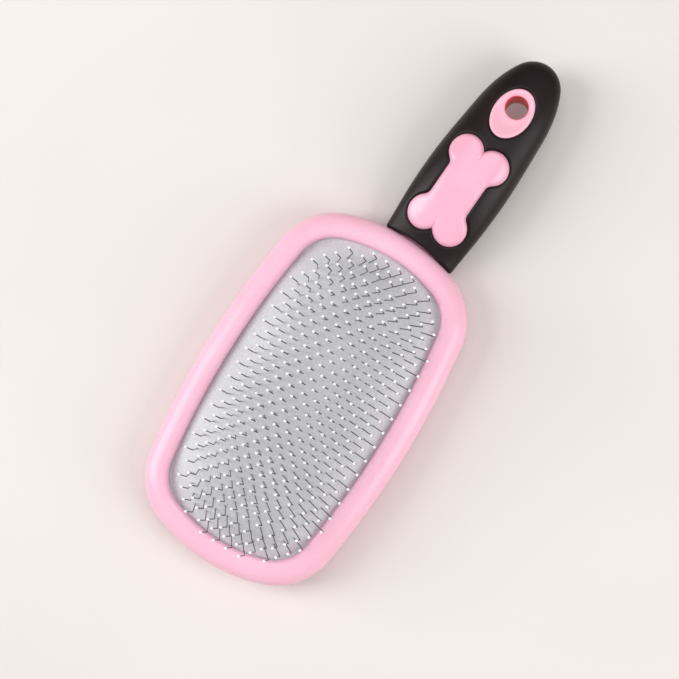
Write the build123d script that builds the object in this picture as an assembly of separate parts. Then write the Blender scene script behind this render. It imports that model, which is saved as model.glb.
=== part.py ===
from build123d import *
import math
import os

# Slicker brush with an air-cushion pin bed, lying on its back.
# Origin: centre of the resting footprint. +Y from head to handle, +Z the way the pins point.
# All sizes in millimetres.

# Head outline: long side arcs, crowned ends and tangent corner arcs
HEAD_LENGTH = 139.4
HEAD_WIDTH = 84.0
HEAD_CENTRE_Y = -40.3
SIDE_RADIUS = 315.0
END_RADIUS = 66.0
CORNER_RADIUS = 24.5
FRAME_BAND = 9.5

# Heights of the head
SPLIT_Z = 9.3
LIP_LOW_Z = 12.6
LIP_EDGE_Z = 14.9
WALL = 2.3
BACK_ROUNDING = 7.6
CLAMP_WALL_INSETS = (6.4, 8.4)
SEAM_GAP = 0.1

# Section of the front frame as (inset, z): over its crown, then back along its underside
FRAME_CROWN = [(0.5, 12.2), (2.1, 14.6), (5.0, 16.1), (7.8, 16.0)]
FRAME_UNDERSIDE = [(6.2, 12.6), (5.0, 13.8), (2.3, 11.8)]

# Pegs that hold the front frame on the back shell, in the channel between its two walls
PEG_COUNT = 10
PEG_RADIUS = 0.95
PEG_HEIGHTS = (4.6, 14.2)
PEG_SOCKET_RADIUS = 1.0
PEG_SOCKET_FLOOR = 4.0
PEG_BOSS_RADIUS = 1.9
PEG_BOSS_FLOOR = 3.0
PEG_INSET = 4.4

# Cushion sheet and the cloth bonded under it
SHEET_HALF_X = 32.9
SHEET_HALF_Y = 60.9
SHEET_POWER_X = 2.5
SHEET_POWER_Y = 4.2
SHEET_RISE = 9.0
SHEET_RIM_Z = LIP_LOW_Z - SEAM_GAP
SHEET_THICKNESS = 1.6
CLOTH_THICKNESS = 0.7
SHEET_EDGE_GAP = 0.2
SHEET_RIM_OVERLAP = 1.2
SHEET_STEPS_X = 16
SHEET_STEPS_Y = 28
CLOTH_INSET = 11.5

# Bent wire staples and their round tips
COLUMN_PITCH = 2.5
PIN_PITCH = 5.85
COLUMN_COUNT = 21
COLUMN_HALF_COUNT = 12
PIN_FIELD_HALF_X = 26.6
PIN_FIELD_HALF_Y = 57.0
PIN_FIELD_SHIFT = (0.8, -1.0)
WIRE_RADIUS = 0.2
LOWER_LEG = 8.6
UPPER_LEG = 3.5
LEG_LEAN = 20.0
KNEE_ANGLE = 46.0
WIRE_BEND = 0.7
FAN_FACTOR = 0.8
TIP_RADIUS = 0.55
WIRE_PLAY = 0.01
END_HOOK = 1.8

# Handle: stations as (distance from the head, half width, lowest z, highest z)
HANDLE_ROOT = (6.4, 29.4)
HANDLE_TOE = 3.8
HANDLE_STATIONS = [
    (-9.0, 14.6, 3.4, 13.4),
    (1.0, 15.0, 3.2, 14.4),
    (12.0, 15.8, 2.4, 17.8),
    (24.0, 16.25, 1.8, 20.4),
    (38.0, 15.9, 1.6, 21.4),
    (51.0, 14.9, 2.0, 20.8),
    (60.0, 14.0, 2.8, 19.9),
    (67.0, 12.5, 3.8, 18.6),
    (73.0, 10.2, 5.2, 17.0),
    (77.6, 7.1, 7.0, 15.2),
    (80.4, 3.2, 9.0, 13.2),
]
SECTION_POWER = 2.35
SECTION_POINTS = 20
GRIP_THICKNESS = 2.6
CORE_WALL = 2.2
SMALLEST_HALF_WIDTH = 2.0
CORE_SPLIT_Z = 11.3
BULKHEAD_AT = 46.5
HEAD_CLEARANCE = 0.25
COVER_CLEARANCE = 0.4

# Bone-shaped inlay on the handle
BONE_AT = 23.9
BONE_LOBE_RADIUS = 6.4
BONE_LOBE_X = 5.6
BONE_LOBE_Y = 13.1
BONE_SHAFT_WIDTH = 16.3
BONE_PROUD = 0.9
BONE_CORNER = 1.3
INLAY_GAP = 0.12

# Screws under the inlay and the inlay's own locating pegs
SCREW_AT = (13.4, 34.4)
SCREW_RADIUS = 1.3
SCREW_TIP_Z = 6.4
SCREW_BORE_FLOOR_Z = 5.6
SCREW_HEAD_RADIUS = 2.6
SCREW_HEAD_HEIGHT = 1.7
SCREW_BOSS_RADIUS = 3.4
SCREW_SEAT_DEPTH = 3.0
SCREW_SLOT_DEPTH = 0.7
SCREW_BITE = 0.1
SCREW_BORE_PLAY = 0.05
SCREW_HOLE_PLAY = 0.15
SCREW_RECESS_PLAY = 0.2
SCREW_SLOT_WIDTH = 0.7
INLAY_PEG_AT = (19.4, 28.4)
INLAY_PEG_RADIUS = 1.2
INLAY_PEG_LENGTH = 3.6
INLAY_PEG_PLAY = 0.05
INLAY_PEG_ROOT = 1.0

# Hang eyelet: an oval plug with a round hole nearer the handle's tip
EYELET_AT = 57.6
EYELET_HALF_WIDTH = 7.2
EYELET_HALF_LENGTH = 10.0
EYELET_HOLE_AT = 60.4
EYELET_HOLE_RADIUS = 4.2
EYELET_HOLE_LENGTH = 14.0
EYELET_DISH_HEIGHT = 8.9
EYELET_DISH_INSET = 1.1
EYELET_PROUD = 0.25

# Reach of cutting blocks
TALL = 60.0
WIDE = 300.0


def unit(x, y):
    """Direction of a vector in the plan view."""
    length = math.hypot(x, y)
    return x / length, y / length


def corner_centre():
    """Centre of the corner arc that is tangent to the side arc and to the end arc."""
    side_x = HEAD_WIDTH / 2 - SIDE_RADIUS
    end_y = HEAD_LENGTH / 2 - END_RADIUS
    reach_side = SIDE_RADIUS - CORNER_RADIUS
    reach_end = END_RADIUS - CORNER_RADIUS
    gap = math.hypot(side_x, end_y)
    along = (reach_side**2 - reach_end**2 + gap**2) / (2 * gap)
    across = math.sqrt(reach_side**2 - along**2)
    ux, uy = unit(-side_x, end_y)
    return side_x + along * ux - across * uy, along * uy + across * ux


def head_outline(inset):
    """Closed outline of the head, moved inwards by inset, starting at the middle of the +X side."""
    cx, cy = corner_centre()
    side_x = HEAD_WIDTH / 2 - SIDE_RADIUS
    end_y = HEAD_LENGTH / 2 - END_RADIUS
    sx, sy = unit(cx - side_x, cy)
    ex, ey = unit(cx, cy - end_y)
    mx, my = unit(sx + ex, sy + ey)
    half_turn = math.atan2(sy, sx) / 2
    side_r = SIDE_RADIUS - inset
    end_r = END_RADIUS - inset
    corner_r = CORNER_RADIUS - inset
    side_mid = (side_x + side_r * math.cos(half_turn), side_r * math.sin(half_turn))
    side_end = (side_x + side_r * sx, side_r * sy)
    corner_mid = (cx + corner_r * mx, cy + corner_r * my)
    end_start = (end_r * ex, end_y + end_r * ey)
    start = (HEAD_WIDTH / 2 - inset, 0)
    end_mid = (0, HEAD_LENGTH / 2 - inset)

    def at(point, flip_x=1, flip_y=1):
        return (point[0] * flip_x, point[1] * flip_y + HEAD_CENTRE_Y, 0)

    edges = [
        ThreePointArc(at(start), at(side_mid), at(side_end)),
        ThreePointArc(at(side_end), at(corner_mid), at(end_start)),
        ThreePointArc(at(end_start), at(end_mid), at(end_start, -1)),
        ThreePointArc(at(end_start, -1), at(corner_mid, -1), at(side_end, -1)),
        ThreePointArc(at(side_end, -1), at(start, -1), at(side_end, -1, -1)),
        ThreePointArc(at(side_end, -1, -1), at(corner_mid, -1, -1), at(end_start, -1, -1)),
        ThreePointArc(at(end_start, -1, -1), at(end_mid, 1, -1), at(end_start, 1, -1)),
        ThreePointArc(at(end_start, 1, -1), at(corner_mid, 1, -1), at(side_end, 1, -1)),
        ThreePointArc(at(side_end, 1, -1), at(side_mid, 1, -1), at(start)),
    ]
    return Wire([curve.edge() for curve in edges])


def head_prism(inset, low, high):
    """Upright prism on the head outline, from z = low to z = high."""
    face = Face(head_outline(inset))
    return Pos(0, 0, low) * extrude(face, amount=high - low)


def sheet_height(x, y):
    """Height of the cushion's outer face at a plan point."""
    across = (abs(x) / SHEET_HALF_X) ** SHEET_POWER_X
    along = (abs(y - HEAD_CENTRE_Y) / SHEET_HALF_Y) ** SHEET_POWER_Y
    return SHEET_RIM_Z + SHEET_RISE * (1 - across - along)


def sheet_slope(x, y):
    """Fall of the cushion's outer face per millimetre along +X and along +Y."""
    v = y - HEAD_CENTRE_Y
    power_x = SHEET_POWER_X - 1
    power_y = SHEET_POWER_Y - 1
    fall_x = SHEET_RISE * SHEET_POWER_X * (abs(x) / SHEET_HALF_X) ** power_x / SHEET_HALF_X
    fall_y = SHEET_RISE * SHEET_POWER_Y * (abs(v) / SHEET_HALF_Y) ** power_y / SHEET_HALF_Y
    return math.copysign(fall_x, x), math.copysign(fall_y, v)


def domed_sheet(drop, thickness, inset):
    """Sheet of even thickness that follows the dome, drop below its outer face."""
    grid = []
    for i in range(SHEET_STEPS_X + 1):
        x = SHEET_HALF_X * (2 * i / SHEET_STEPS_X - 1)
        row = []
        for j in range(SHEET_STEPS_Y + 1):
            y = HEAD_CENTRE_Y + SHEET_HALF_Y * (2 * j / SHEET_STEPS_Y - 1)
            row.append(Vector(x, y, sheet_height(x, y) - drop))
        grid.append(row)
    face = Face.make_surface_from_array_of_points(grid)
    block = Solid.extrude(face, Vector(0, 0, -thickness))
    return block & head_prism(inset, 0, TALL)


def peg_points():
    """Plan positions of the pegs and their sockets."""
    steps = [(k + 0.5) / PEG_COUNT for k in range(PEG_COUNT)]
    return [head_outline(PEG_INSET).position_at(step) for step in steps]


def upright_rod(x, y, radius, low, high):
    """Round rod from z = low to z = high."""
    anchor = (Align.CENTER, Align.CENTER, Align.MIN)
    return Pos(x, y, low) * Cylinder(radius, high - low, align=anchor)


def make_front_bezel():
    """Rounded front frame with a lip over the cushion's rim and pegs on its underside."""
    def at(inset, z):
        return (HEAD_WIDTH / 2 - inset, HEAD_CENTRE_Y, z)

    low = SPLIT_Z + SEAM_GAP
    edge = at(FRAME_BAND, LIP_EDGE_Z)
    crown = Spline(at(0, low), *[at(*point) for point in FRAME_CROWN], edge)
    under = [at(*point) for point in FRAME_UNDERSIDE]
    underside = Polyline(edge, at(FRAME_BAND, LIP_LOW_Z), *under, at(WALL, low), at(0, low))
    profile = Face(Wire([crown.edge()] + list(underside.edges())))
    frame = sweep(profile, path=head_outline(0))
    for point in peg_points():
        frame += upright_rod(point.X, point.Y, PEG_RADIUS, *PEG_HEIGHTS)
    return frame


def make_cushion_membrane():
    """Domed rubber sheet with a flat rim that the front frame clamps."""
    flange_low = SHEET_RIM_Z - SHEET_THICKNESS
    rim = head_prism(CLAMP_WALL_INSETS[0] + SHEET_EDGE_GAP, flange_low, SHEET_RIM_Z)
    rim -= head_prism(FRAME_BAND + SHEET_RIM_OVERLAP, 0, TALL)
    dome = domed_sheet(0, SHEET_THICKNESS, FRAME_BAND + SHEET_EDGE_GAP)
    return rim + dome


def make_pad_backing_cloth():
    """Woven cloth bonded under the rubber sheet, inside the clamp wall."""
    return domed_sheet(SHEET_THICKNESS, CLOTH_THICKNESS, CLOTH_INSET)


def polar(length, degrees):
    """Step of a given length in the staple's bending plane, leaning from upright."""
    angle = math.radians(degrees)
    return Vector(length * math.sin(angle), 0, length * math.cos(angle))


def wire_leg(y):
    """Crown end, knee and tip of one leg, from the bottom up."""
    depth = SHEET_THICKNESS + CLOTH_THICKNESS + WIRE_RADIUS
    foot = Vector(0, y, -depth)
    knee = foot + polar(LOWER_LEG + depth, LEG_LEAN)
    tip = knee + polar(UPPER_LEG, LEG_LEAN - KNEE_ANGLE)
    return foot, knee, tip


def bent_wire(points):
    """Round wire through the points, with the same bend radius at each corner."""
    path = FilletPolyline(*points, radius=WIRE_BEND)
    start = Plane(origin=path @ 0, z_dir=path % 0)
    return sweep(start * Circle(WIRE_RADIUS), path=path)


def make_staple():
    """Two bent pins joined by a crown under the cloth."""
    near = wire_leg(-PIN_PITCH / 2)
    far = wire_leg(PIN_PITCH / 2)
    return bent_wire([near[2], near[1], near[0], far[0], far[1], far[2]])


def make_end_pin():
    """Single bent pin with a short hook under the cloth, for the odd place in a column."""
    foot, knee, tip = wire_leg(0)
    return bent_wire([tip, knee, foot, foot + Vector(0, -END_HOOK, 0)])


def make_tip():
    """Round tip with a blind hole for the wire, its axis along the upper leg."""
    ball = Sphere(TIP_RADIUS)
    anchor = (Align.CENTER, Align.CENTER, Align.MAX)
    hole = Cylinder(WIRE_RADIUS + WIRE_PLAY, 2 * TIP_RADIUS, align=anchor)
    return ball - Pos(0, 0, WIRE_PLAY) * hole


def column_places(column):
    """Plan positions of the pins in one column, from the far end to the handle end."""
    x = (column - (COLUMN_COUNT - 1) / 2) * COLUMN_PITCH
    shift = 0.5 if column % 2 else 0.0
    places = []
    for k in range(-COLUMN_HALF_COUNT, COLUMN_HALF_COUNT + 1):
        v = (k + shift) * PIN_PITCH
        across = (abs(x) / PIN_FIELD_HALF_X) ** SHEET_POWER_X
        along = (abs(v) / PIN_FIELD_HALF_Y) ** SHEET_POWER_Y
        if across + along <= 1:
            places.append((x + PIN_FIELD_SHIFT[0], v + PIN_FIELD_SHIFT[1] + HEAD_CENTRE_Y))
    return places


def on_sheet(x, y):
    """Location on the cushion's outer face, with Z fanned outwards from upright."""
    fall_x, fall_y = sheet_slope(x, y)
    fall_x *= FAN_FACTOR
    fall_y *= FAN_FACTOR
    origin = (x, y, sheet_height(x, y))
    return Plane(origin=origin, x_dir=(1, 0, -fall_x), z_dir=(fall_x, fall_y, 1)).location


def make_column(column, staple, end_pin, tip):
    """Staples and round tips of one column of the pin bed."""
    places = column_places(column)
    wires = []
    tips = []
    lean = Rot(0, LEG_LEAN - KNEE_ANGLE, 0)
    for first, second in zip(places[0::2], places[1::2]):
        base = on_sheet(first[0], (first[1] + second[1]) / 2)
        wires.append(base * staple)
        for y in (-PIN_PITCH / 2, PIN_PITCH / 2):
            tips.append(base * Pos(wire_leg(y)[2]) * lean * tip)
    if len(places) % 2:
        base = on_sheet(*places[-1])
        wires.append(base * end_pin)
        tips.append(base * Pos(wire_leg(0)[2]) * lean * tip)
    return wires, tips


def handle_place(along, z=0):
    """Location on the handle's own centreline, whose Y runs along the handle."""
    return Pos(*HANDLE_ROOT, 0) * Rot(0, 0, -HANDLE_TOE) * Pos(0, along, z)


def handle_section(along, half_width, low, high):
    """Closed rounded cross-section of the handle."""
    middle = (low + high) / 2
    half_height = (high - low) / 2
    points = []
    for k in range(SECTION_POINTS):
        angle = 2 * math.pi * k / SECTION_POINTS
        c, s = math.cos(angle), math.sin(angle)
        x = math.copysign(half_width * abs(c) ** (2 / SECTION_POWER), c)
        z = math.copysign(half_height * abs(s) ** (2 / SECTION_POWER), s)
        points.append((x, along, middle + z))
    return Face(Wire([Spline(*points, periodic=True).edge()]))


def handle_body(shrink, raise_top=0.0):
    """Solid handle form, drawn in on all sides by shrink, with its top raised by raise_top."""
    length = HANDLE_STATIONS[-1][0]
    scale = (length - shrink) / length
    sections = []
    for along, half_width, low, high in HANDLE_STATIONS:
        if half_width - shrink >= SMALLEST_HALF_WIDTH:
            top = high - shrink + raise_top
            sections.append(handle_section(along * scale, half_width - shrink, low + shrink, top))
    return handle_place(0) * loft(sections)


def bone_sketch(grow):
    """Bone outline: a shaft with two round lobes at each end."""
    shaft = Rectangle(BONE_SHAFT_WIDTH, 2 * BONE_LOBE_Y)
    lobes = [
        Pos(sx * BONE_LOBE_X, sy * BONE_LOBE_Y) * Circle(BONE_LOBE_RADIUS)
        for sx in (-1, 1) for sy in (-1, 1)
    ]
    bone = shaft + lobes
    corners = [v for v in bone.vertices() if abs(v.Y) < BONE_LOBE_Y]
    bone = fillet(corners, BONE_CORNER)
    return offset(bone, grow) if grow else bone


def oval_sketch(grow):
    """Oval outline of the eyelet, its long axis along the handle."""
    return Ellipse(EYELET_HALF_WIDTH + grow, EYELET_HALF_LENGTH + grow)


def on_handle(sketch, along, low, high):
    """Upright prism on a sketch placed on the handle's centreline."""
    return handle_place(along, low) * extrude(sketch, amount=high - low)


def handle_rods(stations, radius, low, high):
    """Round rods on the handle's centreline."""
    rods = []
    for along in stations:
        at = handle_place(along).position
        rods.append(upright_rod(at.X, at.Y, radius, low, high))
    return rods


def half_space(z, side):
    """Large block above z (Align.MIN) or below it (Align.MAX)."""
    return Pos(0, 0, z) * Box(WIDE, WIDE, TALL, align=(Align.CENTER, Align.CENTER, side))


def make_core(outer):
    """Handle core, hollow from the head to the eyelet's bulkhead, with bosses for the screws."""
    cavity = handle_body(GRIP_THICKNESS + CORE_WALL)
    solid_end = Box(WIDE, WIDE, WIDE, align=(Align.CENTER, Align.MIN, Align.CENTER))
    cavity -= handle_place(BULKHEAD_AT) * solid_end
    cavity -= handle_rods(SCREW_AT, SCREW_BOSS_RADIUS, 0, TALL)
    cavity -= head_prism(-CORE_WALL, 0, TALL)
    core = outer - cavity
    return core - on_handle(oval_sketch(INLAY_GAP), EYELET_AT, 0, TALL)


def make_head_back_shell(core):
    """Back of the head, with the walls that hold the frame and the cushion, and the rear core."""
    tray = head_prism(0, 0, SPLIT_Z)
    tray = fillet(tray.edges().group_by(Axis.Z)[0], BACK_ROUNDING)
    hollow = head_prism(WALL, WALL, TALL)
    hollow = fillet(hollow.edges().group_by(Axis.Z)[0], BACK_ROUNDING - WALL)
    clamp_top = SHEET_RIM_Z - SHEET_THICKNESS - SEAM_GAP
    outer_inset, inner_inset = CLAMP_WALL_INSETS
    clamp = head_prism(outer_inset, WALL / 2, clamp_top) - head_prism(inner_inset, 0, TALL)
    shell = tray - hollow + clamp
    for point in peg_points():
        shell += upright_rod(point.X, point.Y, PEG_BOSS_RADIUS, PEG_BOSS_FLOOR, SPLIT_Z)
    for point in peg_points():
        shell -= upright_rod(point.X, point.Y, PEG_SOCKET_RADIUS, PEG_SOCKET_FLOOR, TALL)
    rear = core - half_space(CORE_SPLIT_Z, Align.MIN)
    rear -= head_prism(WALL / 2, 0, TALL)
    rear -= head_prism(-HEAD_CLEARANCE, SPLIT_Z, TALL)
    for hole in handle_rods(SCREW_AT, SCREW_RADIUS + SCREW_BORE_PLAY, SCREW_BORE_FLOOR_Z, TALL):
        rear -= hole
    return shell + rear


def make_core_cover(core):
    """Front half of the handle core, with screw seats and holes for the inlay's pegs."""
    cover = core - half_space(CORE_SPLIT_Z + SEAM_GAP, Align.MAX)
    cover -= head_prism(-COVER_CLEARANCE, 0, TALL)
    seat = screw_seat_z()
    for hole in handle_rods(SCREW_AT, SCREW_RADIUS + SCREW_HOLE_PLAY, 0, TALL):
        cover -= hole
    for recess in handle_rods(SCREW_AT, SCREW_HEAD_RADIUS + SCREW_RECESS_PLAY, seat, TALL):
        cover -= recess
    for hole in handle_rods(INLAY_PEG_AT, INLAY_PEG_RADIUS + INLAY_PEG_PLAY, 0, TALL):
        cover -= hole
    return cover


def core_top_z():
    """Height of the core's front face at the middle of the inlay."""
    return HANDLE_STATIONS[3][3] - GRIP_THICKNESS


def screw_seat_z():
    """Height of the face that the screw heads bear on."""
    return core_top_z() - SCREW_SEAT_DEPTH - SCREW_HEAD_HEIGHT


def make_core_screws():
    """Two self-tapping screws with slotted cheese heads."""
    seat = screw_seat_z()
    shanks = handle_rods(SCREW_AT, SCREW_RADIUS, SCREW_TIP_Z, seat + SCREW_BITE)
    heads = handle_rods(SCREW_AT, SCREW_HEAD_RADIUS, seat, seat + SCREW_HEAD_HEIGHT)
    slots = [
        handle_place(along, seat + SCREW_HEAD_HEIGHT) * Box(TALL, SCREW_SLOT_WIDTH, 2 * SCREW_SLOT_DEPTH)
        for along in SCREW_AT
    ]
    return [shank + head - slot for shank, head, slot in zip(shanks, heads, slots)]


def make_grip_overmould(outer):
    """Soft grip skin round the core, with windows for the inlay and the eyelet."""
    grip = handle_body(0) - outer
    grip -= head_prism(-HEAD_CLEARANCE, 0, TALL)
    grip -= on_handle(bone_sketch(INLAY_GAP), BONE_AT, CORE_SPLIT_Z, TALL)
    return grip - on_handle(oval_sketch(INLAY_GAP), EYELET_AT, 0, TALL)


def make_bone_inlay(outer):
    """Domed bone-shaped plate on the core, standing a little proud of the grip."""
    plate = on_handle(bone_sketch(0), BONE_AT, CORE_SPLIT_Z, TALL)
    plate &= handle_body(0, BONE_PROUD)
    plate -= outer
    low = core_top_z() - INLAY_PEG_LENGTH
    for peg in handle_rods(INLAY_PEG_AT, INLAY_PEG_RADIUS, low, core_top_z() + INLAY_PEG_ROOT):
        plate += peg
    return plate


def make_hang_eyelet():
    """Oval plug through the handle, dished on both faces down to a round hole."""
    plug = on_handle(oval_sketch(0), EYELET_AT, 0, TALL) & handle_body(-EYELET_PROUD)
    middle = CORE_SPLIT_Z
    half = EYELET_HOLE_LENGTH / 2
    plug -= handle_rods([EYELET_HOLE_AT], EYELET_HOLE_RADIUS, 0, TALL)
    shift = EYELET_AT - EYELET_HOLE_AT
    for side in (1, -1):
        rim = Pos(0, shift, side * EYELET_DISH_HEIGHT) * oval_sketch(-EYELET_DISH_INSET)
        throat = Pos(0, 0, side * half) * Circle(EYELET_HOLE_RADIUS)
        plug -= handle_place(EYELET_HOLE_AT, middle) * loft([rim.face(), throat.face()])
    return plug


def save(node, shape):
    """Write one named piece as a STEP file."""
    shapes = shape if isinstance(shape, list) else [shape]
    solids = [solid for item in shapes for solid in item.solids()]
    piece = solids[0] if len(solids) == 1 else Compound(children=solids)
    piece.label = node
    export_step(piece, os.path.join("parts", node + ".step"))


def main():
    os.makedirs("parts", exist_ok=True)
    outer = handle_body(GRIP_THICKNESS)
    core = make_core(outer)
    save("head_back_shell", make_head_back_shell(core))
    save("handle_core_cover", make_core_cover(core))
    save("core_screws", make_core_screws())
    save("grip_overmould", make_grip_overmould(outer))
    save("bone_inlay", make_bone_inlay(outer))
    save("hang_eyelet", make_hang_eyelet())
    save("front_bezel", make_front_bezel())
    save("cushion_membrane", make_cushion_membrane())
    save("pad_backing_cloth", make_pad_backing_cloth())
    staple = make_staple()
    end_pin = make_end_pin()
    tip = make_tip()
    for column in range(COLUMN_COUNT):
        wires, tips = make_column(column, staple, end_pin, tip)
        save(f"pin_row_{column + 1:02d}", wires)
        save(f"tip_row_{column + 1:02d}", tips)


main()
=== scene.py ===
import math

import bmesh
import bpy
import numpy as np
from mathutils import Matrix, Vector


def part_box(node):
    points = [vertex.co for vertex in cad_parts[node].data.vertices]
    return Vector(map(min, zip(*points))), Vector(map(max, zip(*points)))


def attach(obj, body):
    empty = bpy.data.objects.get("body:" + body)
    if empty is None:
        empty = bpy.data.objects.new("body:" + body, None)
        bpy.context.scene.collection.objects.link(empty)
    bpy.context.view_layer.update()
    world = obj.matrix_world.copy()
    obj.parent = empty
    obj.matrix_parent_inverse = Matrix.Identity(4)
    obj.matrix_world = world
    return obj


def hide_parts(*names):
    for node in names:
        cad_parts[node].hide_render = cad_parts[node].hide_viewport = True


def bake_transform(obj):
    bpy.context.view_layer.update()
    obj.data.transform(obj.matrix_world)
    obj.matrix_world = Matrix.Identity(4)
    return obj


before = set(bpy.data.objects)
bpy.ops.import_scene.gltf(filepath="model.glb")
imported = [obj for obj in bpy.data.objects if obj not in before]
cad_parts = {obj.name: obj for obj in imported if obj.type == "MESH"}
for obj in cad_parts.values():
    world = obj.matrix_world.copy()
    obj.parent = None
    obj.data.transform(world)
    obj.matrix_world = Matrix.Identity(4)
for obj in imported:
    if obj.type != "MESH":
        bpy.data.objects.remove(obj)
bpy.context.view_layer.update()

# Shapes below are worked out in millimetres in the row frame and stored in metres.
MM = 0.001
BODY = "brush_body"

# Head outline: side arcs, end arcs and tangent corner arcs, as in the CAD
HEAD_LENGTH = 139.4
HEAD_WIDTH = 84.0
HEAD_CENTRE_Y = -40.3
SIDE_RADIUS = 315.0
END_RADIUS = 66.0
CORNER_RADIUS = 24.5
FRAME_BAND = 9.5

# Cushion sheet and the cloth under it
SHEET_HALF_X = 32.9
SHEET_HALF_Y = 60.9
SHEET_POWER_X = 2.5
SHEET_POWER_Y = 4.2
SHEET_RISE = 9.0
SHEET_RIM_BLEND = 0.03
SHEET_CREST_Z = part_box("cushion_membrane")[1].z / MM
SHEET_RIM_Z = SHEET_CREST_Z - SHEET_RISE
SHEET_THICKNESS = 1.6
CLOTH_THICKNESS = 0.7
SHEET_RIM_INSET = 6.8
CLOTH_INSET = FRAME_BAND + 2.0
CLOTH_GAP = 0.02

# Pins: columns across the bed, and the pins along each column
COLUMN_PITCH = 2.5
PIN_PITCH = 5.85
COLUMN_COUNT = 21
COLUMN_HALF_COUNT = 12
PIN_FIELD_HALF_X = 26.6
PIN_FIELD_HALF_Y = 57.0
PIN_FIELD_SHIFT = (0.8, -1.0)
WIRE_EXIT_SHIFT = 0.85

# Handle: the point where it starts, its angle to the head, and its size along its length as
# (distance from the start, half width, lowest z, highest z)
HANDLE_ROOT = (6.4, 29.4)
HANDLE_TOE = math.radians(3.8)
HANDLE_STATIONS = np.array([
    (-9.0, 14.6, 3.4, 13.4),
    (1.0, 15.0, 3.2, 14.4),
    (12.0, 15.8, 2.4, 17.8),
    (24.0, 16.25, 1.8, 20.4),
    (38.0, 15.9, 1.6, 21.4),
    (51.0, 14.9, 2.0, 20.8),
    (60.0, 14.0, 2.8, 19.9),
    (67.0, 12.5, 3.8, 18.6),
    (73.0, 10.2, 5.2, 17.0),
    (77.6, 7.1, 7.0, 15.2),
    (80.5, 0.0, 11.1, 11.1),
])
SECTION_POWER = 2.35
GRIP_THICKNESS = 2.55
HEAD_CLEARANCE = 0.25
WINDOW_GAP = 0.12

# Bone plate and eyelet, placed along the handle from the head
BONE_AT = 23.9
BONE_LOBE_RADIUS = 6.4
BONE_LOBE_X = 5.6
BONE_LOBE_Y = 13.1
BONE_HALF_SHAFT = 8.15
BONE_CORNER = 1.6
BONE_PROUD = 0.9
EYELET_AT = 57.6
EYELET_HALF_WIDTH = 7.2
EYELET_HALF_LENGTH = 10.0
EYELET_HOLE_AT = 60.4
EYELET_HOLE_RADIUS = 4.2
EYELET_THROAT = 7.0
EYELET_MIDDLE_Z = 11.3

# Camera: nearly straight down, tilted a little to the +X side. VIEW_WIDTH is what the
# picture spans at the aimed point.
VIEW_WIDTH = 248.0
CAMERA_DISTANCE = 700.0
CAMERA_TILT = math.radians(6.0)
HEAD_TURN = math.radians(32.0)
AIM = (-0.55, -15.3, 12.0)

# Floor, in metres
FLOOR_HALF_SIZE = 2.5
FLOOR_GAP = 0.0002

# Mesh building. Grid points less than EDGE_REACH steps from an edge are moved onto it, in
# a few passes of at most EDGE_LONGEST_PUSH steps each. The weld distance is in metres.
SHARP_ANGLE = math.radians(40)
WELD_DISTANCE = 2e-6
ARC_POINTS = 160
SLOPE_STEP = 0.02
LEAST_SLOPE = 0.05
EDGE_PASSES = 3
EDGE_REACH = 0.65
EDGE_LONGEST_PUSH = 0.5

# Noise scales of the moulded plastics, and the range in which most noise values lie
DRIFT_SCALE = 38.0
HAZE_SCALE = 420.0
FINE_SCALE = 2600.0
NOISE_LOW = 0.3
NOISE_HIGH = 0.7


# ---------------------------------------------------------------- shape formulas

def unit(x, y):
    """Plan direction of length one."""
    length = math.hypot(x, y)
    return x / length, y / length


def corner_centre():
    """Centre of the corner arc, tangent to the side arc and to the end arc."""
    side_x = HEAD_WIDTH / 2 - SIDE_RADIUS
    end_y = HEAD_LENGTH / 2 - END_RADIUS
    reach_side = SIDE_RADIUS - CORNER_RADIUS
    reach_end = END_RADIUS - CORNER_RADIUS
    gap = math.hypot(side_x, end_y)
    along = (reach_side**2 - reach_end**2 + gap**2) / (2 * gap)
    across = math.sqrt(reach_side**2 - along**2)
    ux, uy = unit(-side_x, end_y)
    return side_x + along * ux - across * uy, along * uy + across * ux


def head_inset(x, y):
    """How far a plan point lies inside the head's outline; negative outside it."""
    cx, cy = corner_centre()
    side_x = HEAD_WIDTH / 2 - SIDE_RADIUS
    end_y = HEAD_LENGTH / 2 - END_RADIUS
    sx, sy = unit(cx - side_x, cy)
    ex, ey = unit(cx, cy - end_y)
    u = np.abs(x)
    v = np.abs(y - HEAD_CENTRE_Y)
    px = u - cx
    py = v - cy
    in_corner = (sx * py - sy * px > 0) & (px * ey - py * ex > 0)
    side = SIDE_RADIUS - np.hypot(u - side_x, v)
    end = END_RADIUS - np.hypot(u, v - end_y)
    return np.where(in_corner, CORNER_RADIUS - np.hypot(px, py), np.minimum(side, end))


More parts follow.
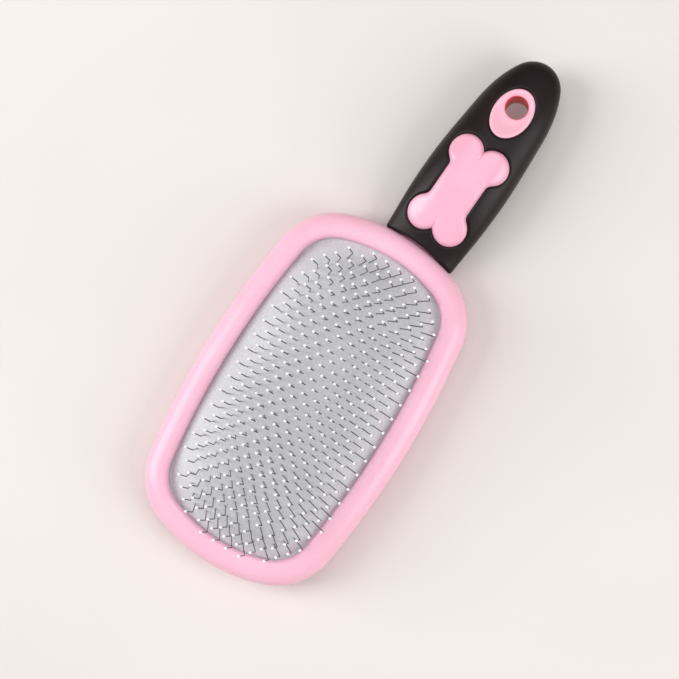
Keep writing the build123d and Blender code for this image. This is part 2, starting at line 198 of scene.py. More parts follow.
def outline_ring(inset, count):
    """Plan points round the head outline moved inwards, evenly spaced by arc length."""
    cx, cy = corner_centre()
    side_x = HEAD_WIDTH / 2 - SIDE_RADIUS
    end_y = HEAD_LENGTH / 2 - END_RADIUS
    turn_side = math.atan2(cy, cx - side_x)
    turn_end = math.atan2(cy - end_y, cx)
    arcs = [
        (side_x, 0, SIDE_RADIUS - inset, 0, turn_side),
        (cx, cy, CORNER_RADIUS - inset, turn_side, turn_end),
        (0, end_y, END_RADIUS - inset, turn_end, math.pi / 2),
    ]
    quarter = []
    for ax, ay, radius, first, last in arcs:
        for angle in np.linspace(first, last, ARC_POINTS)[:-1]:
            quarter.append((ax + radius * math.cos(angle), ay + radius * math.sin(angle)))
    quarter.append((0, HEAD_LENGTH / 2 - inset))
    quarter = np.array(quarter)
    half = np.vstack([quarter, quarter[-2::-1] * (-1, 1)])
    ring = np.vstack([half, half[-2:0:-1] * (1, -1)])
    closed = np.vstack([ring, ring[:1]])
    steps = np.r_[0, np.cumsum(np.hypot(*np.diff(closed, axis=0).T))]
    wanted = np.linspace(0, steps[-1], count, endpoint=False)
    x = np.interp(wanted, steps, closed[:, 0])
    y = np.interp(wanted, steps, closed[:, 1])
    return x, y + HEAD_CENTRE_Y


def natural_spline(knots, values, at):
    """Smooth curve through the knots, evaluated at the given places."""
    n = len(knots)
    gaps = np.diff(knots)
    slopes = np.diff(values) / gaps
    system = np.eye(n)
    right = np.zeros(n)
    for k in range(1, n - 1):
        system[k, k - 1:k + 2] = gaps[k - 1], 2 * (gaps[k - 1] + gaps[k]), gaps[k]
        right[k] = 6 * (slopes[k] - slopes[k - 1])
    bend = np.linalg.solve(system, right)
    at = np.clip(at, knots[0], knots[-1])
    k = np.clip(np.searchsorted(knots, at) - 1, 0, n - 2)
    gap = gaps[k]
    left = (knots[k + 1] - at) / gap
    fore = 1 - left
    curve = (left**3 - left) * bend[k] + (fore**3 - fore) * bend[k + 1]
    return left * values[k] + fore * values[k + 1] + curve * gap**2 / 6


def handle_size(along):
    """Half width, half height and middle height of the handle at a distance from the head."""
    knots, half_width, low, high = HANDLE_STATIONS.T
    width = np.sqrt(np.maximum(natural_spline(knots, half_width**2, along), 0))
    height = np.sqrt(np.maximum(natural_spline(knots, ((high - low) / 2) ** 2, along), 0))
    return width, height, natural_spline(knots, (high + low) / 2, along)


def to_row(across, along):
    """Row-frame plan point of a point in the handle's own axes."""
    c, s = math.cos(HANDLE_TOE), math.sin(HANDLE_TOE)
    return HANDLE_ROOT[0] + across * c + along * s, HANDLE_ROOT[1] - across * s + along * c


def handle_face_z(across, along, side, shrink=0.0):
    """Height of the handle's front (side 1) or rear (side -1) face over a plan point."""
    width, height, middle = handle_size(along)
    share = np.clip(np.abs(across) / np.maximum(width - shrink, 1e-6), 0, 1)
    bulge = (1 - share**SECTION_POWER) ** (1 / SECTION_POWER)
    return middle + side * np.maximum(height - shrink, 0) * bulge


def soft_minimum(a, b, blend):
    """Smaller of two distances, with a rounded change from one to the other."""
    h = np.clip(0.5 + 0.5 * (b - a) / blend, 0, 1)
    return b + (a - b) * h - blend * h * (1 - h)


def bone_distance(across, along):
    """Distance outside the bone outline; negative inside it."""
    v = np.abs(along - BONE_AT)
    lobes = np.hypot(np.abs(across) - BONE_LOBE_X, v - BONE_LOBE_Y) - BONE_LOBE_RADIUS
    over_x = np.abs(across) - BONE_HALF_SHAFT
    over_y = v - BONE_LOBE_Y
    outside = np.hypot(np.maximum(over_x, 0), np.maximum(over_y, 0))
    shaft = outside + np.minimum(np.maximum(over_x, over_y), 0)
    return soft_minimum(lobes, shaft, BONE_CORNER)


def oval_distance(across, along):
    """Distance outside the eyelet's oval outline, near it; negative inside it."""
    u = across / EYELET_HALF_WIDTH
    v = (along - EYELET_AT) / EYELET_HALF_LENGTH
    level = np.hypot(u, v)
    slope_there = np.hypot(u / EYELET_HALF_WIDTH, v / EYELET_HALF_LENGTH)
    return level * (level - 1) / np.maximum(slope_there, 1e-6)


def sheet_level(x, y):
    """Share of the way from the cushion's crest (0) to its rim (1)."""
    across = (np.abs(x) / SHEET_HALF_X) ** SHEET_POWER_X
    along = (np.abs(y - HEAD_CENTRE_Y) / SHEET_HALF_Y) ** SHEET_POWER_Y
    return across + along


def sheet_height(x, y):
    """Height of the cushion's outer face, running out flat under the frame's lip."""
    rise = 1 - sheet_level(x, y)
    rise = (rise + np.sqrt(rise**2 + SHEET_RIM_BLEND**2)) / 2
    return SHEET_RIM_Z + SHEET_RISE * rise - SHEET_RISE * SHEET_RIM_BLEND / 2


def pin_holes():
    """Plan points where the wires leave the cushion."""
    holes = []
    for column in range(COLUMN_COUNT):
        x = (column - (COLUMN_COUNT - 1) / 2) * COLUMN_PITCH
        shift = 0.5 if column % 2 else 0.0
        for k in range(-COLUMN_HALF_COUNT, COLUMN_HALF_COUNT + 1):
            v = (k + shift) * PIN_PITCH
            across = (abs(x) / PIN_FIELD_HALF_X) ** SHEET_POWER_X
            along = (abs(v) / PIN_FIELD_HALF_Y) ** SHEET_POWER_Y
            if across + along <= 1:
                x_out = x + PIN_FIELD_SHIFT[0] + WIRE_EXIT_SHIFT
                holes.append((x_out, v + PIN_FIELD_SHIFT[1] + HEAD_CENTRE_Y))
    return np.array(holes)


# ---------------------------------------------------------------- mesh building

def new_object(name, vertices, faces):
    """Mesh object from millimetre points, with its normals made to agree."""
    mesh = bpy.data.meshes.new(name)
    mesh.from_pydata([tuple(v) for v in np.asarray(vertices) * MM], [], faces)
    mesh.validate()
    work = bmesh.new()
    work.from_mesh(mesh)
    bmesh.ops.remove_doubles(work, verts=work.verts, dist=WELD_DISTANCE)
    bmesh.ops.recalc_face_normals(work, faces=work.faces)
    work.to_mesh(mesh)
    work.free()
    mesh.polygons.foreach_set("use_smooth", [True] * len(mesh.polygons))
    mesh.set_sharp_from_angle(angle=SHARP_ANGLE)
    obj = bpy.data.objects.new(name, mesh)
    bpy.context.scene.collection.objects.link(obj)
    return obj


def slope(distance, a, b):
    """Change of a distance field along each of its two coordinates."""
    step = SLOPE_STEP
    along_a = (distance(a + step, b) - distance(a - step, b)) / (2 * step)
    along_b = (distance(a, b + step) - distance(a, b - step)) / (2 * step)
    return along_a, along_b


def snapped_grid(a_values, b_values, distance):
    """Grid coordinates, with the points near the field's edge moved onto it so that the edge
    is clean, and which of the points are material."""
    step = abs(b_values[1] - b_values[0])
    longest = EDGE_LONGEST_PUSH * step
    a, b = np.meshgrid(a_values, b_values, indexing="ij")
    near = np.abs(distance(a, b)) < EDGE_REACH * step
    for _ in range(EDGE_PASSES):
        gap = distance(a, b)
        ga, gb = slope(distance, a, b)
        push = np.where(near, gap / np.maximum(ga**2 + gb**2, LEAST_SLOPE), 0)
        push = np.clip(push, -longest, longest)
        a = a - push * ga
        b = b - push * gb
    return a, b, near | (distance(a, b) < 0)


def grid_faces(keep, wrap):
    """Quads between kept grid points, and triangles where only three corners are kept."""
    rows, columns = keep.shape
    number = np.arange(rows * columns).reshape(rows, columns)
    next_row = np.roll(np.arange(rows), -1) if wrap else np.arange(1, rows)
    first = np.arange(rows) if wrap else np.arange(rows - 1)
    corners = np.stack([
        number[first][:, :-1], number[next_row][:, :-1],
        number[next_row][:, 1:], number[first][:, 1:],
    ], -1).reshape(-1, 4)
    kept = keep.ravel()[corners]
    enough = kept.sum(1) >= 3
    return [tuple(face[inside]) for face, inside in zip(corners[enough], kept[enough])]


def open_edges(faces):
    """Edges that belong to one face only, in that face's direction."""
    edges = {}
    for face in faces:
        for p, q in zip(face, face[1:] + face[:1]):
            if (q, p) in edges:
                del edges[(q, p)]
            else:
                edges[(p, q)] = True
    return list(edges)


def skin(name, a_values, b_values, distance, outer, inner, wrap=False):
    """Closed sheet over a grid, with material where distance is negative. With wrap, the
    grid's last row joins its first."""
    a, b, keep = snapped_grid(a_values, b_values, distance)
    faces = grid_faces(keep, wrap)
    total = a.size
    under = [tuple(v + total for v in reversed(face)) for face in faces]
    walls = [(q, p, p + total, q + total) for p, q in open_edges(faces)]
    points = np.vstack([
        np.stack(outer(a, b), -1).reshape(-1, 3),
        np.stack(inner(a, b), -1).reshape(-1, 3),
    ])
    used = sorted({v for face in faces + under for v in face})
    place = {v: k for k, v in enumerate(used)}
    everything = [tuple(place[v] for v in face) for face in faces + under + walls]
    return new_object(name, points[used], everything)


def rings(name, layers):
    """Closed tube of quads through a list of rings of equal length, the last joined to the first."""
    count = len(layers[0])
    faces = []
    for i in range(len(layers)):
        j = (i + 1) % len(layers)
        for k in range(count):
            m = (k + 1) % count
            faces.append((i * count + k, i * count + m, j * count + m, j * count + k))
    return new_object(name, np.vstack(layers), faces)


# ---------------------------------------------------------------- materials

def srgb(red, green, blue):
    """Linear colour from display values of 0 to 255."""
    def linear(value):
        value /= 255
        return value / 12.92 if value <= 0.04045 else ((value + 0.055) / 1.055) ** 2.4
    return linear(red), linear(green), linear(blue), 1.0


def shader(name):
    """New material, its node tree and its surface shader."""
    material = bpy.data.materials.new(name)
    material.use_nodes = True
    tree = material.node_tree
    return material, tree, tree.nodes["Principled BSDF"]


def grain(tree, scale, detail=3.0, roughness=0.55):
    """Solid noise in the object's own space."""
    place = tree.nodes.new("ShaderNodeTexCoord")
    noise = tree.nodes.new("ShaderNodeTexNoise")
    noise.inputs["Scale"].default_value = scale
    noise.inputs["Detail"].default_value = detail
    noise.inputs["Roughness"].default_value = roughness
    tree.links.new(place.outputs["Object"], noise.inputs["Vector"])
    return noise.outputs["Fac"]


def ramp(tree, source, stops):
    """Colour ramp over a value, from (position, colour) pairs."""
    node = tree.nodes.new("ShaderNodeValToRGB")
    elements = node.color_ramp.elements
    while len(elements) < len(stops):
        elements.new(0.5)
    for element, (position, colour) in zip(elements, stops):
        element.position = position
        element.color = colour
    tree.links.new(source, node.inputs["Fac"])
    return node.outputs["Color"]


def mixed(tree, kind, factor, first, second):
    """Two colours mixed; each may be a socket or a colour."""
    node = tree.nodes.new("ShaderNodeMix")
    node.data_type = "RGBA"
    node.blend_type = kind
    for name, value in (("Factor", factor), ("A", first), ("B", second)):
        wanted = "VALUE" if name == "Factor" else "RGBA"
        socket = next(s for s in node.inputs if s.name == name and s.type == wanted)
        if isinstance(value, bpy.types.NodeSocket):
            tree.links.new(value, socket)
        else:
            socket.default_value = value
    return next(s for s in node.outputs if s.type == "RGBA")


def spread(tree, source, low, high):
    """A noise value moved to the range low to high."""
    node = tree.nodes.new("ShaderNodeMapRange")
    node.inputs["From Min"].default_value = NOISE_LOW
    node.inputs["From Max"].default_value = NOISE_HIGH
    node.inputs["To Min"].default_value = low
    node.inputs["To Max"].default_value = high
    tree.links.new(source, node.inputs["Value"])
    return node.outputs["Result"]


def dusted(tree, tint, fine, shade, share):
    """Tint under faint dust: fine noise darkens it down to shade, by the given share."""
    dust = ramp(tree, fine, [(0.3, (shade, shade, shade, 1)), (0.62, (1, 1, 1, 1))])
    return mixed(tree, "MULTIPLY", share, tint, dust)


def relief(tree, surface, layers):
    """Bump from a list of (height socket, depth in metres), finest last."""
    normal = None
    for height, depth in layers:
        bump = tree.nodes.new("ShaderNodeBump")
        bump.inputs["Strength"].default_value = 1.0
        bump.inputs["Distance"].default_value = depth
        tree.links.new(height, bump.inputs["Height"])
        if normal is not None:
            tree.links.new(normal, bump.inputs["Normal"])
        normal = bump.outputs["Normal"]
    tree.links.new(normal, surface.inputs["Normal"])


def moulded_plastic(name, light, dark, roughness, peel=8e-6):
    """Glossy moulded plastic: faint tint drift, flow haze and a light orange peel."""
    material, tree, surface = shader(name)
    drift = grain(tree, DRIFT_SCALE, 2.0)
    haze = grain(tree, HAZE_SCALE, 4.0)
    fine = grain(tree, FINE_SCALE, 2.0)
    tint = ramp(tree, drift, [(0.32, dark), (0.68, light)])
    gloss = spread(tree, haze, roughness - 0.035, roughness + 0.045)
    tree.links.new(dusted(tree, tint, fine, 0.93, 0.35), surface.inputs["Base Color"])
    tree.links.new(gloss, surface.inputs["Roughness"])
    relief(tree, surface, [(haze, peel), (fine, peel * 0.25)])
    surface.inputs["IOR"].default_value = 1.52
    surface.inputs["Subsurface Weight"].default_value = 0.12
    surface.inputs["Subsurface Radius"].default_value = (0.004, 0.0015, 0.0015)
    surface.inputs["Subsurface Scale"].default_value = 0.4
    return material


def make_materials():
    """Every material, by name."""
    found = {}
    found["frame"] = moulded_plastic("pink_frame", srgb(253, 196, 218), srgb(251, 189, 212), 0.3)
    found["shell"] = moulded_plastic("pink_shell", srgb(250, 182, 207), srgb(246, 172, 199), 0.34)
    found["inlay"] = moulded_plastic("pink_inlay", srgb(252, 186, 209), srgb(250, 178, 202), 0.18, 5e-6)
    found["eyelet"] = eyelet_plastic()
    found["grip"] = soft_grip()
    found["rubber"] = cushion_rubber()
    found["cloth"] = woven_cloth()
    found["wire"] = drawn_wire()
    found["tip"] = dipped_resin()
    found["screw"] = plated_steel()
    return found


def eyelet_plastic():
    """Pink plastic with painted light down in the hole: red that stands in for light passing through
    the wall, a touch darker deepest down.
    """
    # Painted red glow: full this far below the throat's edge, back to pink this far above it.
    painted_glow_depth = 3.5
    pink_from = 0.4
    material, tree, surface = shader("pink_eyelet")
    place = tree.nodes.new("ShaderNodeTexCoord")
    apart = tree.nodes.new("ShaderNodeSeparateXYZ")
    tree.links.new(place.outputs["Object"], apart.inputs["Vector"])
    depth = tree.nodes.new("ShaderNodeMath")
    depth.operation = "SUBTRACT"
    depth.inputs[1].default_value = EYELET_MIDDLE_Z * MM
    tree.links.new(apart.outputs["Z"], depth.inputs[0])
    away = tree.nodes.new("ShaderNodeMath")
    away.operation = "ABSOLUTE"
    tree.links.new(depth.outputs["Value"], away.inputs[0])
    share = tree.nodes.new("ShaderNodeMapRange")
    share.inputs["From Min"].default_value = (EYELET_THROAT - painted_glow_depth) * MM
    share.inputs["From Max"].default_value = (EYELET_THROAT + pink_from) * MM
    tree.links.new(away.outputs["Value"], share.inputs["Value"])
    # Painted light: the red stands in for light passing through the pink wall down in the hole.
    tint = ramp(tree, share.outputs["Result"], [
        (0.0, srgb(226, 5, 28)), (0.8, srgb(234, 14, 42)), (1.0, srgb(251, 190, 210)),
    ])
    haze = grain(tree, HAZE_SCALE, 4.0)
    fine = grain(tree, FINE_SCALE, 2.0)
    tree.links.new(dusted(tree, tint, fine, 0.92, 0.4), surface.inputs["Base Color"])
    tree.links.new(spread(tree, haze, 0.27, 0.35), surface.inputs["Roughness"])
    relief(tree, surface, [(haze, 6e-6), (fine, 2e-6)])
    return material


def soft_grip():
    """Black soft-touch elastomer: matt grain, worn smoother in patches, with faint lint."""
    material, tree, surface = shader("black_grip")
    patches = grain(tree, 55.0, 3.0)
    pebble = grain(tree, 1900.0, 3.0, 0.6)
    fine = grain(tree, 5200.0, 2.0)
    tint = ramp(tree, patches, [(0.3, srgb(17, 5, 9)), (0.7, srgb(27, 11, 16))])
    lint = ramp(tree, fine, [(0.62, (1, 1, 1, 1)), (0.8, (1.9, 1.7, 1.7, 1))])
    tree.links.new(mixed(tree, "MULTIPLY", 0.5, tint, lint), surface.inputs["Base Color"])
    tree.links.new(spread(tree, patches, 0.36, 0.46), surface.inputs["Roughness"])
    relief(tree, surface, [(pebble, 2.2e-5), (fine, 8e-6)])
    surface.inputs["Specular IOR Level"].default_value = 0.3
    surface.inputs["Sheen Weight"].default_value = 0.03
    surface.inputs["Sheen Roughness"].default_value = 0.4
    return material


def cushion_rubber():
    """Grey rubber with a speckled, matt, slightly leathery surface."""
    material, tree, surface = shader("grey_rubber")
    drift = grain(tree, 70.0, 3.0)
    speckle = grain(tree, 1500.0, 4.0, 0.7)
    fine = grain(tree, 4200.0, 2.0)
    tint = ramp(tree, drift, [(0.3, srgb(202, 203, 207)), (0.7, srgb(212, 213, 217))])
    flecks = ramp(tree, speckle, [(0.36, (0.80, 0.80, 0.81, 1)), (0.6, (1.06, 1.06, 1.06, 1))])
    tree.links.new(mixed(tree, "MULTIPLY", 0.75, tint, flecks), surface.inputs["Base Color"])
    tree.links.new(spread(tree, speckle, 0.36, 0.52), surface.inputs["Roughness"])
    relief(tree, surface, [(speckle, 3.5e-5), (fine, 1e-5)])
    return material


def woven_cloth():
    """Plain weave of undyed cotton yarn."""
    material, tree, surface = shader("backing_cloth")
    place = tree.nodes.new("ShaderNodeTexCoord")
    waves = []
    for direction in ("X", "Y"):
        wave = tree.nodes.new("ShaderNodeTexWave")
        wave.bands_direction = direction
        wave.inputs["Scale"].default_value = 420.0
        wave.inputs["Distortion"].default_value = 0.6
        wave.inputs["Detail"].default_value = 2.0
        tree.links.new(place.outputs["Object"], wave.inputs["Vector"])
        waves.append(wave.outputs["Color"])
    weave = mixed(tree, "MULTIPLY", 1.0, waves[0], waves[1])
    tint = ramp(tree, weave, [(0.1, srgb(120, 114, 104)), (0.8, srgb(190, 184, 172))])
    tree.links.new(tint, surface.inputs["Base Color"])
    surface.inputs["Roughness"].default_value = 0.85
    relief(tree, surface, [(weave, 8e-5)])
    return material


def drawn_wire():
    """Steel wire with draw marks and a few darker heat-tinted patches."""
    material, tree, surface = shader("pin_steel")
    patches = grain(tree, 260.0, 3.0)
    marks = grain(tree, 7000.0, 2.0)
    tint = ramp(tree, patches, [(0.3, srgb(92, 92, 96)), (0.7, srgb(150, 150, 154))])
    tree.links.new(tint, surface.inputs["Base Color"])
    tree.links.new(spread(tree, marks, 0.28, 0.42), surface.inputs["Roughness"])
    relief(tree, surface, [(marks, 2e-6)])
    surface.inputs["Metallic"].default_value = 0.9
    return material


def dipped_resin():
    """White resin beads, each a touch different in tone."""
    material, tree, surface = shader("tip_resin")
    tone = grain(tree, 330.0, 1.0)
    fine = grain(tree, 3800.0, 2.0)
    tint = ramp(tree, tone, [(0.3, srgb(243, 243, 246)), (0.7, srgb(253, 253, 254))])
    tree.links.new(tint, surface.inputs["Base Color"])
    tree.links.new(spread(tree, fine, 0.22, 0.32), surface.inputs["Roughness"])
    relief(tree, surface, [(fine, 4e-6)])
    surface.inputs["Subsurface Weight"].default_value = 0.25
    surface.inputs["Subsurface Radius"].default_value = (0.001, 0.001, 0.001)
    surface.inputs["Subsurface Scale"].default_value = 0.3
    return material


def plated_steel():
    """Zinc-plated screw steel with turning marks."""
    material, tree, surface = shader("screw_steel")
    marks = grain(tree, 3000.0, 3.0)
    tint = ramp(tree, marks, [(0.3, srgb(150, 152, 156)), (0.7, srgb(196, 198, 202))])
    tree.links.new(tint, surface.inputs["Base Color"])
    tree.links.new(spread(tree, marks, 0.25, 0.4), surface.inputs["Roughness"])
    relief(tree, surface, [(marks, 5e-6)])
    surface.inputs["Metallic"].default_value = 1.0
    return material


def paint(obj, material):
    """Give an object one material."""
    obj.data.materials.clear()
    obj.data.materials.append(material)


# ---------------------------------------------------------------- pieces

def rounded_lip(depth, reach):
    """How far a surface has dropped, depth away from its edge, for a softly rounded edge."""
    drop_at_edge = 0.75 * reach
    return drop_at_edge * np.clip(1 - depth / reach, 0, 1) ** 2


def make_grip():
    """Soft grip skin with windows for the inlay and the eyelet."""
    mean_radius = 14.0
    count = 300
    step = 0.3
    lip = 0.9
    first = -8.0
    end = HANDLE_STATIONS[-1, 0]
    round_end = 3.5
    round_steps = 26
    no_window = -9.0

    def place(a, b, shrink):
        angle = a / mean_radius
        width, height, middle = handle_size(b)
        c, s = np.cos(angle), np.sin(angle)
        across = np.maximum(width - shrink, 0) * np.sign(c) * np.abs(c) ** (2 / SECTION_POWER)
        rise = np.maximum(height - shrink, 0) * np.sign(s) * np.abs(s) ** (2 / SECTION_POWER)
        return across, b, middle + rise, s

    def distance(a, b):
        across, along, _, s = place(a, b, 0.0)
        x, y = to_row(across, along)
        head = head_inset(x, y) + HEAD_CLEARANCE
        bone = np.where(s > 0, WINDOW_GAP - bone_distance(across, along), no_window)
        oval = WINDOW_GAP - oval_distance(across, along)
        return np.maximum(np.maximum(head, bone), oval)

    def outer(a, b):
        drop = rounded_lip(-distance(a, b), lip)
        across, along, z, _ = place(a, b, drop)
        return (*to_row(across, along), z)

    def inner(a, b):
        across, along, z, _ = place(a, b, GRIP_THICKNESS)
        return (*to_row(across, along * (1 - GRIP_THICKNESS / end)), z)

    around = np.arange(count) / count * 2 * math.pi * mean_radius
    ahead = np.arange(first, end - round_end, step)
    ahead = np.concatenate([ahead, end - np.linspace(round_end**0.5, 0, round_steps) ** 2])
    return skin("grip_skin", around, ahead, distance, outer, inner, wrap=True)


def make_bone():
    """Domed bone inlay with a fully rounded edge."""
    edge = 1.5
    edge_drop = 1.2
    crown = 0.3
    crown_reach = 3.0
    step = 0.22
    columns = 58
    rows = 92

    def outer(a, b):
        depth = np.maximum(-bone_distance(a, b), 0)
        drop = edge_drop * rounded_lip(depth, edge)
        z = handle_face_z(a, b, 1) + BONE_PROUD - crown * np.exp(-depth / crown_reach) - drop
        return (*to_row(a, b), z)

    def inner(a, b):
        return (*to_row(a, b), handle_face_z(a, b, 1) - GRIP_THICKNESS)

    across = np.arange(-columns, columns + 1) * step
    along = BONE_AT + np.arange(-rows, rows + 1) * step
    return skin("bone_plate", across, along, bone_distance, outer, inner)


def oval_radius(angle, inset):
    """Distance from the hole's axis to the oval outline, moved inwards, in each direction."""
    furthest = 20.0
    halvings = 40
    near = np.zeros_like(angle)
    far = np.full_like(angle, furthest)
    for _ in range(halvings):
        middle = (near + far) / 2
        x = middle * np.cos(angle)
        y = EYELET_HOLE_AT + middle * np.sin(angle)
        outside = oval_distance(x, y) > -inset
        far = np.where(outside, middle, far)
        near = np.where(outside, near, middle)
    return near


def make_eyelet():
    """Eyelet plug: rounded rims on both faces, dished down to a round throat."""
    count = 160
    angle = np.arange(count) / count * 2 * math.pi
    # (distance inside the oval, rise over the handle's face)
    rim = [
        (0.0, -1.6), (0.0, -0.35), (0.06, -0.12), (0.22, 0.06), (0.45, 0.12), (0.75, 0.1),
        (1.05, -0.02),
    ]
    # (distance outside the hole, rise over the throat)
    throat_edge = [(0.28, 0.2), (0.1, 0.0), (0.02, -0.25), (0.0, -0.6)]
    dish_steps = 10
    dish_power = 1.2
    lip = EYELET_HOLE_RADIUS + 0.45
    lip_rise = 0.3

    def ring(radius, z):
        x, y = to_row(radius * np.cos(angle), EYELET_HOLE_AT + radius * np.sin(angle))
        return np.stack([x, y, np.broadcast_to(z, x.shape)], -1)

    def face(side):
        layers = []
        for inset, rise in rim:
            radius = oval_radius(angle, inset)
            across = radius * np.cos(angle)
            along = EYELET_HOLE_AT + radius * np.sin(angle)
            layers.append(ring(radius, handle_face_z(across, along, side) + side * rise))
        start = oval_radius(angle, rim[-1][0])
        start_z = layers[-1][:, 2]
        throat_z = EYELET_MIDDLE_Z + side * EYELET_THROAT
        for share in np.linspace(1 / dish_steps, 1.0, dish_steps):
            down = math.sin(share * math.pi / 2) ** dish_power
            radius = start + (lip - start) * share
            layers.append(ring(radius, start_z + (throat_z + lip_rise - start_z) * down))
        for over, rise in throat_edge:
            layers.append(ring(EYELET_HOLE_RADIUS + over, throat_z + side * rise))
        return layers

    return rings("eyelet_plug", face(1) + face(-1)[::-1])


def make_frame_ring():
    """Front frame: crowned section swept round the head, with its lip and hollow underside.
    The section's points are (distance inside the head's outline, height)."""
    crown = [
        (0.0, 9.4), (0.02, 10.2), (0.14, 11.1), (0.48, 12.2), (1.1, 13.4), (2.1, 14.55),
        (3.4, 15.4), (5.0, 15.95), (6.4, 16.15), (7.6, 16.15), (8.4, 16.0), (8.95, 15.7),
        (9.3, 15.25), (9.47, 14.7), (9.5, 14.1), (9.5, 13.1), (9.42, 12.75), (9.2, 12.6),
    ]
    underside = [
        (6.3, 12.6), (6.1, 12.75), (5.0, 13.8), (3.6, 13.1), (2.3, 11.8), (2.3, 9.55),
        (2.15, 9.4), (0.2, 9.4),
    ]
    count = 720
    layers = []
    for inset, z in crown + underside:
        x, y = outline_ring(inset, count)
        layers.append(np.stack([x, y, np.full(x.shape, z)], -1))
    return rings("frame_ring", layers)


def make_membrane():
    """Cushion sheet, with a pit round each wire and a low collar round the pit."""
    holes = pin_holes()
    step = 0.35
    half_x = 36.4
    half_y = 63.7
    reach = 1.6
    pit_depth = 0.16
    pit_radius = 0.42
    collar_height = 0.1
    collar_radius = 0.75
    collar_width = 0.3

    def outer(a, b):
        z = sheet_height(a, b)
        flat = np.stack([a.ravel(), b.ravel()], -1)
        dent = np.zeros(len(flat))
        for x, y in holes:
            close = (np.abs(flat[:, 0] - x) < reach) & (np.abs(flat[:, 1] - y) < reach)
            apart = np.hypot(flat[close, 0] - x, flat[close, 1] - y)
            pit = pit_depth * np.exp(-((apart / pit_radius) ** 2))
            collar = collar_height * np.exp(-(((apart - collar_radius) / collar_width) ** 2))
            dent[close] += pit - collar
        return a, b, z - dent.reshape(a.shape)

    def inner(a, b):
        return a, b, sheet_height(a, b) - SHEET_THICKNESS

    def distance(a, b):
        return SHEET_RIM_INSET - head_inset(a, b)

    across = np.arange(-half_x, half_x + step / 4, step)
    along = HEAD_CENTRE_Y + np.arange(-half_y, half_y + step / 4, step)
    return skin("cushion_skin", across, along, distance, outer, inner)


def make_cloth():
    """Woven backing bonded under the cushion sheet."""
    step = 1.0
    half_x = 32.0
    half_y = 59.0

    def outer(a, b):
        return a, b, sheet_height(a, b) - SHEET_THICKNESS - CLOTH_GAP

    def inner(a, b):
        return a, b, sheet_height(a, b) - SHEET_THICKNESS - CLOTH_THICKNESS

    def distance(a, b):
        return CLOTH_INSET - head_inset(a, b)

    across = np.arange(-half_x, half_x + step / 4, step)
    along = HEAD_CENTRE_Y + np.arange(-half_y, half_y + step / 4, step)
    return skin("backing_weave", across, along, distance, outer, inner)


def add_rigid_pieces(materials):
    """Blender pieces that go with the brush body, each in the place of one CAD node."""
    pieces = (
        (make_grip(), "grip", "black_grip", "grip_overmould"),
        (make_bone(), "inlay", "pink_inlay", "bone_inlay"),
        (make_eyelet(), "eyelet", "pink_eyelet", "hang_eyelet"),
        (make_frame_ring(), "frame", "pink_frame", "front_bezel"),
    )
    for piece, material, slot, node in pieces:
        paint(piece, materials[material])
        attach(piece, BODY)
        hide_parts(node)


def add_cushion(materials):
    """Cushion sheet and its backing cloth, each in the place of one CAD node."""
    membrane = make_membrane()
    paint(membrane, materials["rubber"])
    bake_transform(membrane)
    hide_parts("cushion_membrane")
    cloth = make_cloth()
    paint(cloth, materials["cloth"])
    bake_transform(cloth)
    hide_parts("pad_backing_cloth")


def paint_cad_nodes(materials):
    """Materials of the CAD nodes that stay."""
    for name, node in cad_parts.items():
        if name.startswith("pin_row"):
            paint(node, materials["wire"])
        elif name.startswith("tip_row"):
            paint(node, materials["tip"])
    paint(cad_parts["head_back_shell"], materials["shell"])
    paint(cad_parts["handle_core_cover"], materials["shell"])
    paint(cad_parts["core_screws"], materials["screw"])


def build_object(materials):
    """Every Blender piece, and the materials of the CAD nodes that stay."""
    add_rigid_pieces(materials)
    add_cushion(materials)
    paint_cad_nodes(materials)


# ---------------------------------------------------------------- studio

def make_floor():
    """Plain pale floor."""
    mesh = bpy.data.meshes.new("floor")
    half = FLOOR_HALF_SIZE
    corners = [(-half, -half, 0), (half, -half, 0), (half, half, 0), (-half, half, 0)]
    mesh.from_pydata(corners, [], [(0, 1, 2, 3)])
    floor = bpy.data.objects.new("floor", mesh)
    floor.location.z = -FLOOR_GAP
    bpy.context.scene.collection.objects.link(floor)
    material, tree, surface = shader("studio_floor")
    drift = grain(tree, 6.0, 2.0)
    tint = ramp(tree, drift, [(0.3, srgb(226, 220, 217)), (0.7, srgb(231, 226, 223))])
    tree.links.new(tint, surface.inputs["Base Color"])
    surface.inputs["Roughness"].default_value = 0.7
    paint(floor, material)


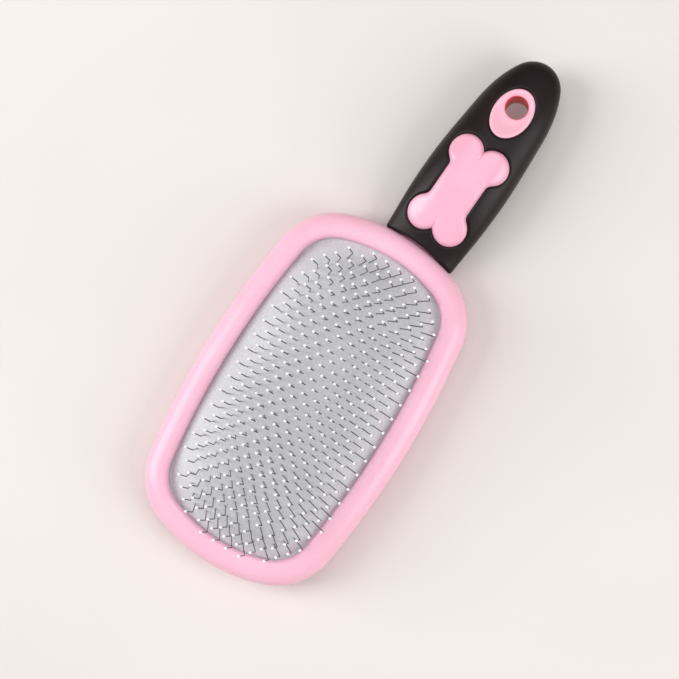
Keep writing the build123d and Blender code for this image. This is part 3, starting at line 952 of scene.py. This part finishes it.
def area_light(name, place, size, power, colour=(1, 1, 1)):
    """Soft rectangular light aimed at the middle of the object."""
    target = (0, -0.01, 0.01)
    data = bpy.data.lights.new(name, "AREA")
    data.shape = "RECTANGLE"
    data.size, data.size_y = size
    data.energy = power
    data.color = colour
    lamp = bpy.data.objects.new(name, data)
    lamp.location = place
    lamp.rotation_euler = (Vector(target) - Vector(place)).to_track_quat("-Z", "Y").to_euler()
    bpy.context.scene.collection.objects.link(lamp)


def make_studio():
    """Soft light from both sides, a weak top light and a pale surround."""
    area_light(
        "key_left", place=(-0.8, -0.35, 0.62), size=(0.6, 0.9), power=8.2,
        colour=(1.0, 0.985, 0.97),
    )
    area_light(
        "fill_right", place=(0.85, 0.1, 0.6), size=(0.6, 0.8), power=5.6,
        colour=(1.0, 0.98, 0.97),
    )
    area_light("top_soft", place=(0.0, 0.3, 1.3), size=(1.0, 1.0), power=3.8)
    world = bpy.data.worlds.new("surround")
    world.use_nodes = True
    back = world.node_tree.nodes["Background"]
    back.inputs["Color"].default_value = (1.0, 0.985, 0.975, 1)
    back.inputs["Strength"].default_value = 0.36
    bpy.context.scene.world = world
    bpy.context.scene.view_settings.view_transform = "Standard"


def make_camera():
    """Camera over the brush, turned so that the handle points up and to the right."""
    data = bpy.data.cameras.new("camera")
    data.sensor_width = 36.0
    data.lens = CAMERA_DISTANCE / VIEW_WIDTH * data.sensor_width
    data.clip_end = 20.0
    back = Vector((math.sin(CAMERA_TILT), 0, math.cos(CAMERA_TILT)))
    up = Vector((-math.sin(HEAD_TURN), math.cos(HEAD_TURN), 0))
    up = (up - up.dot(back) * back).normalized()
    right = up.cross(back)
    place = (Vector(AIM) + CAMERA_DISTANCE * back) * MM
    turn = Matrix((right, up, back)).transposed().to_4x4()
    camera = bpy.data.objects.new("camera", data)
    camera.matrix_world = Matrix.Translation(place) @ turn
    bpy.context.scene.collection.objects.link(camera)
    bpy.context.scene.camera = camera


make_camera()
make_studio()
make_floor()
build_object(make_materials())
